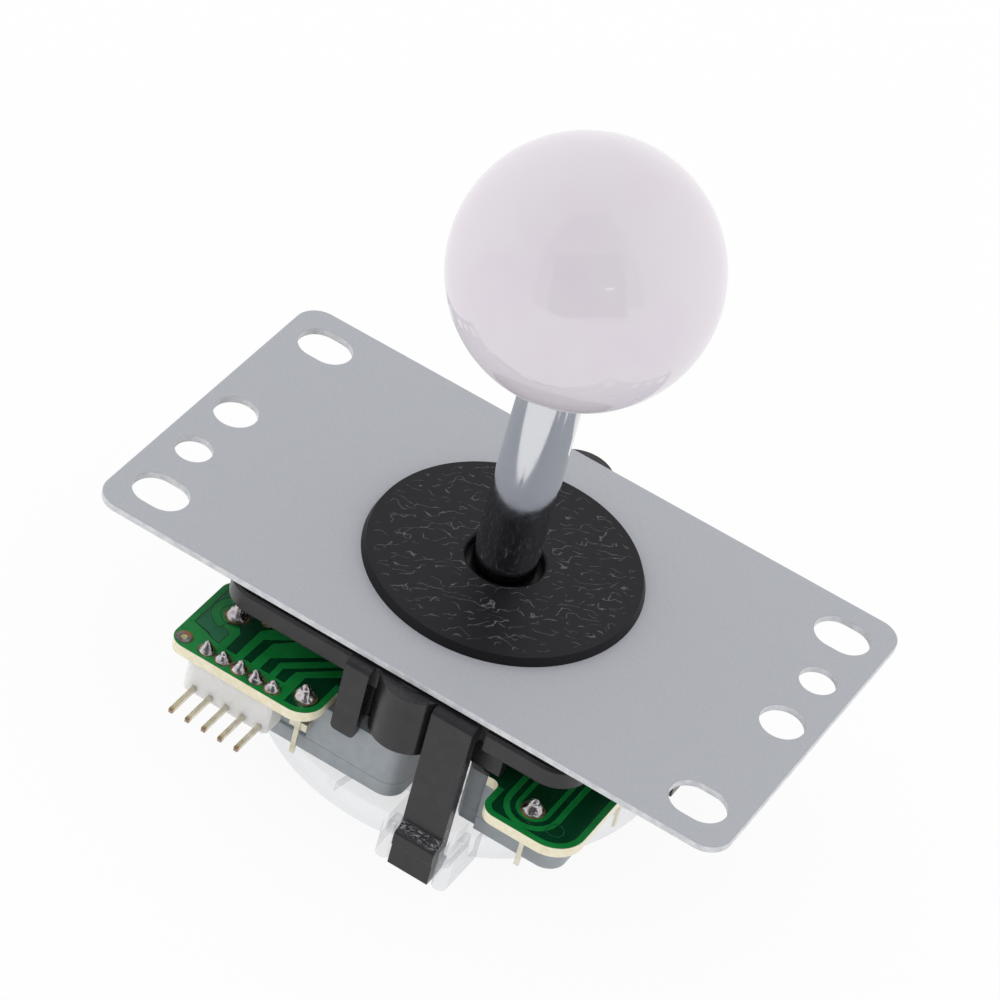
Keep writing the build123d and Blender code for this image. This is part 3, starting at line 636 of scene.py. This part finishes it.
verts, faces = [], []
for k, (x, y) in enumerate(PIN_ROW):
    lump(verts, faces, x, y, 1.12, 1.55, k + 1)
for quarters in range(4):
    for k, (x, y) in enumerate(TERMINALS):
        lump(verts, faces, *turned(x, y, quarters), 1.5, 2.25, 7 + 2 * quarters + k)
verts = [(x * MM, y * MM, z * MM) for x, y, z in verts]
lumps = add_mesh("solder_lumps", verts, faces, solder_look, "base")
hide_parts("solder_joints")

# Thin layers on the board: bare strips between the copper, rings round the joints. Each kind
# lies a few lifts above the board, and each outline a hair above the one before it, in mm.
LIFT = 0.02
HAIR = 0.0008


def ribbon(points, width, closed=False):
    """Quads along a polyline in mm, mitred at its corners."""
    verts = []
    faces = []
    n = len(points)
    for i, (x, y) in enumerate(points):
        if closed or 0 < i < n - 1:
            ax, ay = points[(i - 1) % n]
            bx, by = points[(i + 1) % n]
        elif i == 0:
            ax, ay = x, y
            bx, by = points[1]
        else:
            ax, ay = points[-2]
            bx, by = x, y
        d1 = (x - ax, y - ay)
        d2 = (bx - x, by - y)
        l1 = math.hypot(*d1) or 1
        l2 = math.hypot(*d2) or 1
        tx = d1[0] / l1 + d2[0] / l2
        ty = d1[1] / l1 + d2[1] / l2
        tl = math.hypot(tx, ty) or 1
        nx, ny = -ty / tl, tx / tl
        dx, dy = (d1[0] / l1, d1[1] / l1) if d1 != (0, 0) else (d2[0] / l2, d2[1] / l2)
        stretch = 1 / max(0.4, abs(dx * tx / tl + dy * ty / tl))
        for s in (-0.5, 0.5):
            off = s * width * stretch
            verts.append((x + nx * off, y + ny * off))
    last = n if closed else n - 1
    for i in range(last):
        j = (i + 1) % n
        faces.append((2 * i, 2 * i + 1, 2 * j + 1, 2 * j))
    return verts, faces


def arc(cx, cy, r, start, end, steps=10):
    """Points along an arc, angles in degrees."""
    return [
        (
            cx + r * math.cos(math.radians(start + (end - start) * i / steps)),
            cy + r * math.sin(math.radians(start + (end - start) * i / steps)),
        )
        for i in range(steps + 1)
    ]


def flat_group(name, pieces, lifts, look):
    """Several flat outlines as one piece, some lifts above the board."""
    height = board_z + lifts * LIFT
    verts = []
    faces = []
    for k, (flat_verts, flat_faces) in enumerate(pieces):
        base = len(verts)
        for x, y in flat_verts:
            verts.append((x * MM, y * MM, (height + HAIR * k) * MM))
        faces.extend([tuple(base + v for v in face) for face in flat_faces])
    return add_mesh(name, verts, faces, look, "base", smooth=False)


def disc_ring(cx, cy, r_in, r_out, around=40):
    """A flat ring of quads in mm."""
    ring_points = arc(cx, cy, (r_in + r_out) / 2, 0, 360 - 360 / around, around - 1)
    return ribbon(ring_points, r_out - r_in, closed=True)


def fan(points):
    """A flat outline in mm as one face."""
    return list(points), [tuple(range(len(points)))]


# Outlines in mm. The lobes' borders are ribbons whose middle lies half their width inside the edge
inset = 0.45
left_lobe = (
    [(-7.9 - inset, -23.9), (-7.9 - inset, -28.4)]
    + arc(-11.4, -28.4, 3.05, 0, -90, 8)
    + arc(-27.8, -29.7, 1.75, -90, -180, 8)
    + arc(-27.8, -18.9, 1.75, 180, 90, 8)
    + [(-25.4, -16.7 - inset)]
)
right_lobe = (
    [(16.7 + inset, -24.9), (16.7 + inset, -27.8)]
    + arc(18.9, -27.8, 1.75, 180, 270, 8)
    + arc(25.5, -25.5, 4.05, 270, 360, 8)
    + arc(27.8, -10.1, 1.75, 0, 90, 8)
    + [(25.4, -7.9 - inset)]
)
near_loop = (
    [(20.15, -16.8), (20.15, -25.2)] + arc(22.2, -25.2, 2.05, 180, 360) + [(24.25, -16.8)]
)
far_loop = (
    [(18.65, -16.8), (18.65, -25.2)] + arc(22.2, -25.2, 3.55, 180, 360) + [(25.75, -16.8)]
)
bare = [
    ribbon(left_lobe, 2 * inset),
    # the front band under the pins, and the bare strips between the copper
    fan([(-27.8, -31.3), (-12.4, -31.3), (-12.4, -28.3), (-24.1, -28.3), (-27.8, -27.2)]),
    fan([(-29.3, -29.6), (-27.8, -29.6), (-27.8, -27.2), (-29.3, -26.8)]),
    fan([(-28.6, -31.3), (-27.8, -31.3), (-27.8, -30.8), (-28.9, -30.8)]),
    fan(
        [(-25.8, -25.5), (-24.5, -25.9), (-24.5, -28.4), (-23.2, -28.2), (-23.3, -24.7)]
        + [(-24.1, -23.7), (-25.8, -24.4)]
    ),
    fan(
        [(-21.6, -28.4), (-20.5, -28.4), (-20.4, -23.5), (-17.3, -20.8), (-14.4, -18.0)]
        + [(-16.5, -17.4), (-20.0, -20.4), (-21.6, -22.4)]
    ),
    fan(
        [(-19.3, -28.4), (-17.9, -28.4), (-17.9, -25.8), (-13.6, -21.7), (-9.5, -17.6)]
        + [(-13.4, -17.4), (-16.7, -20.6), (-19.1, -23.3)]
    ),
    fan(
        [(-16.4, -28.4), (-15.5, -28.4), (-15.6, -26.3), (-10.2, -21.0), (-8.3, -19.1)]
        + [(-8.3, -17.6), (-12.5, -21.7), (-16.5, -25.6)]
    ),
    fan(
        [(-14.1, -28.4), (-12.4, -28.9), (-12.5, -25.7), (-8.9, -22.3), (-8.3, -21.7)]
        + [(-8.3, -19.9), (-9.7, -21.3), (-14.0, -25.6)]
    ),
    ribbon([(-12.3, -29.1), (-11.3, -29.9), (-9.4, -30.6)], 0.14),
    ribbon(arc(-25.5, -22.2, 2.4, 70, 262, 24), 1.9),
]
for line_points, width in ((right_lobe, 2 * inset), (near_loop, 0.65), (far_loop, 0.85)):
    for quarters in range(3):
        bare.append(ribbon([turned(x, y, quarters) for x, y in line_points], width))
flat_group("board_lines", bare, 1, trace_look)
teal_edge = (
    [(-29.0, -26.8), (-29.0, -17.2), (-27.9, -18.6)]
    + arc(-25.5, -22.2, 3.4, 128, 258, 12)
    + [(-25.0, -25.2), (-24.4, -25.9), (-24.4, -28.1), (-26.0, -27.8), (-26.5, -27.3)]
)
flat_group("board_ground", [fan(teal_edge)], 1.5, teal_look)
flat_group(
    "board_outlines",
    [ribbon(teal_edge, 0.1, closed=True), disc_ring(-25.5, -22.2, 2.1, 2.2)],
    2,
    board_look,
)
smear = [(25.2, -27.5), (25.3, -26.5), (25.7, -25.8), (26.5, -25.5), (27.2, -25.9)]
smear += [(27.5, -26.7), (27.1, -27.5), (26.2, -27.8)]
flat_group("board_film", [ribbon(smear, 0.16, closed=True)], 2, film_look)
rings = [disc_ring(x, y, 0.95, 1.27) for x, y in PIN_ROW]
rings += [disc_ring(-28.4, -30.2, 0.5, 1.2)]
rings += [
    disc_ring(*turned(x, y, quarters), 1.3, 1.66)
    for quarters in range(4)
    for x, y in TERMINALS
]
flat_group("copper_rings", rings, 2.5, copper_look)
plated = ribbon(arc(-28.5, -30.3, 0.78, 120, 400, 24), 0.5)
flat_group("plated_ring", [plated], 4, solder_look)


# ---- floor, light and camera ----------------------------------------------

FLOOR_HALF = 3.0
floor_z = box_before[0][2]
floor_mesh = bpy.data.meshes.new("floor")
floor_mesh.from_pydata(
    [(x * FLOOR_HALF, y * FLOOR_HALF, floor_z) for x, y in ((-1, -1), (1, -1), (1, 1), (-1, 1))],
    [],
    [(0, 1, 2, 3)],
)
floor = bpy.data.objects.new("floor", floor_mesh)
scene.collection.objects.link(floor)


def see_white(tree, surface, keep, rays=("Is Glossy Ray", "Is Transmission Ray")):
    """Mixes a shader with plain white for camera rays and the others that are named.

    What is kept of the shader there shows the object's shadow.
    """
    path_ = tree.nodes.new("ShaderNodeLightPath")
    most = path_.outputs["Is Camera Ray"]
    for ray in rays:
        top = tree.nodes.new("ShaderNodeMath")
        top.operation = "MAXIMUM"
        tree.links.new(most, top.inputs[0])
        tree.links.new(path_.outputs[ray], top.inputs[1])
        most = top.outputs[0]
    share = tree.nodes.new("ShaderNodeMath")
    share.operation = "MULTIPLY"
    tree.links.new(most, share.inputs[0])
    share.inputs[1].default_value = 1 - keep
    white = tree.nodes.new("ShaderNodeEmission")
    mix = tree.nodes.new("ShaderNodeMixShader")
    tree.links.new(share.outputs[0], mix.inputs[0])
    tree.links.new(surface, mix.inputs[1])
    tree.links.new(white.outputs[0], mix.inputs[2])
    return mix.outputs[0]


floor_mat = bpy.data.materials.new("floor_white")
floor_mat.use_nodes = True
tree = floor_mat.node_tree
surface = tree.nodes["Principled BSDF"]
surface.inputs["Base Color"].default_value = (0.97, 0.97, 0.97, 1)
surface.inputs["Roughness"].default_value = 0.9
SHADOW_SHARE = 0.08
tree.links.new(
    see_white(tree, surface.outputs[0], SHADOW_SHARE),
    tree.nodes["Material Output"].inputs["Surface"],
)
floor_mesh.materials.append(floor_mat)

# The camera's axes, as the fit to the photograph gave them
right = (0.83972876, 0.50400206, 0.20208301)
down = (0.4725628, -0.49498574, -0.72915946)
ahead = (-0.26746966, 0.70779308, -0.65382638)

# A pale tent that gets darker toward the camera's side and overhead
TENT_STRENGTH = 1.42
TENT_FULL = (1.0, 1.0, 1.0, 1)
CAMERA_SIDE = (0.78, 0.78, 0.79, 1)
OVERHEAD = (0.66, 0.66, 0.66, 1)
world = bpy.data.worlds.new("tent")
scene.world = world
world.use_nodes = True
tree = world.node_tree
soft = tree.nodes["Background"]
soft.inputs["Strength"].default_value = TENT_STRENGTH
way = tree.nodes.new("ShaderNodeTexCoord")
toward = tree.nodes.new("ShaderNodeVectorMath")
toward.operation = "DOT_PRODUCT"
toward.inputs[1].default_value = [-v for v in ahead]
tree.links.new(way.outputs["Generated"], toward.inputs[0])
shade = tree.nodes.new("ShaderNodeValToRGB")
shade.color_ramp.interpolation = "EASE"
shade.color_ramp.elements[0].position = 0.1
shade.color_ramp.elements[0].color = TENT_FULL
shade.color_ramp.elements[1].position = 1.0
shade.color_ramp.elements[1].color = CAMERA_SIDE
tree.links.new(toward.outputs["Value"], shade.inputs["Fac"])
height = tree.nodes.new("ShaderNodeSeparateXYZ")
tree.links.new(way.outputs["Generated"], height.inputs[0])
low_light = tree.nodes.new("ShaderNodeValToRGB")
low_light.color_ramp.elements[0].position = 0.0
low_light.color_ramp.elements[0].color = TENT_FULL
low_light.color_ramp.elements[1].position = 0.9
low_light.color_ramp.elements[1].color = OVERHEAD
tree.links.new(height.outputs["Z"], low_light.inputs["Fac"])
both = tree.nodes.new("ShaderNodeMix")
both.data_type = "RGBA"
both.blend_type = "MULTIPLY"
both.inputs["Factor"].default_value = 1.0
tree.links.new(shade.outputs["Color"], both.inputs[6])
tree.links.new(low_light.outputs["Color"], both.inputs[7])
tree.links.new(both.outputs[2], soft.inputs["Color"])
# Mirrored, the tent is as bright as the floor, so that no horizon shows on the ball
mirrored = tree.nodes.new("ShaderNodeBackground")
tree.links.new(shade.outputs["Color"], mirrored.inputs["Color"])
ray = tree.nodes.new("ShaderNodeLightPath")
lit = tree.nodes.new("ShaderNodeMixShader")
tree.links.new(ray.outputs["Is Glossy Ray"], lit.inputs[0])
tree.links.new(soft.outputs[0], lit.inputs[1])
tree.links.new(mirrored.outputs[0], lit.inputs[2])
tree.links.new(
    see_white(tree, lit.outputs[0], 0.0, ("Is Transmission Ray",)),
    tree.nodes["World Output"].inputs["Surface"],
)


def reflector(name, outline, brightness, away):
    """A card on the camera's side that only shows as a reflection.

    The outline is where it shows on the ball, in ball radii from the ball's centre as the camera
    sees it. The card stands that many metres away from the centre.
    """
    centre = Vector((0, 0, ball_z * MM))
    verts = []
    closed = outline + outline[:1]
    fine_outline = [
        (a[0] + (b[0] - a[0]) * k / 6, a[1] + (b[1] - a[1]) * k / 6)
        for a, b in zip(closed, closed[1:])
        for k in range(6)
    ]
    # a ray from the camera is mirrored at (u, v) on the ball and meets the card's plane
    for u, v in fine_outline:
        facing = math.sqrt(1 - u * u - v * v)
        back = 2 * facing * facing - 1
        verts.append(
            centre
            - away * Vector(ahead)
            + away * (2 * facing * u / back) * Vector(right)
            + away * (2 * facing * v / back) * Vector(down)
        )
    mesh = bpy.data.meshes.new(name)
    mesh.from_pydata(verts, [], [tuple(range(len(verts)))])
    card_mat = bpy.data.materials.new(name)
    card_mat.use_nodes = True
    card_tree = card_mat.node_tree
    glow = card_tree.nodes.new("ShaderNodeEmission")
    glow.inputs["Color"].default_value = (brightness, brightness, brightness, 1)
    card_tree.links.new(glow.outputs[0], card_tree.nodes["Material Output"].inputs["Surface"])
    mesh.materials.append(card_mat)
    card = bpy.data.objects.new(name, mesh)
    scene.collection.objects.link(card)
    card.visible_camera = False
    card.visible_diffuse = False
    card.visible_transmission = False
    card.visible_shadow = False


near_card = [(-0.22, -0.09), (0.25, -0.09), (0.28, 0.34), (-0.29, 0.34)]
far_card = [(-0.39, 0.28), (-0.34, 0.0), (-0.27, -0.18), (-0.11, -0.37)]
far_card += [(0.16, -0.37), (0.28, -0.18), (0.36, 0.03), (0.41, 0.28)]
spark = [(0.117, 0.15), (0.14, 0.136), (0.188, 0.134), (0.165, 0.152)]
reflector("card_near", near_card, brightness=0.1, away=1.0)
reflector("card_far", far_card, brightness=0.5, away=1.1)
reflector("card_spark", spark, brightness=2.5, away=0.9)

camera_data = bpy.data.cameras.new("camera")
camera_data.sensor_width = 36.0
camera_data.lens = 155.8  # from the fit, as the place below
camera_data.clip_start = 0.01
camera_data.clip_end = 20.0
camera = bpy.data.objects.new("camera", camera_data)
scene.collection.objects.link(camera)
camera_place = (0.14692396, -0.39647352, 0.37583336)
rows = [(r, -d, -a, p) for r, d, a, p in zip(right, down, ahead, camera_place)]
camera.matrix_world = Matrix((*rows, (0, 0, 0, 1)))
scene.camera = camera
scene.view_settings.view_transform = "Standard"
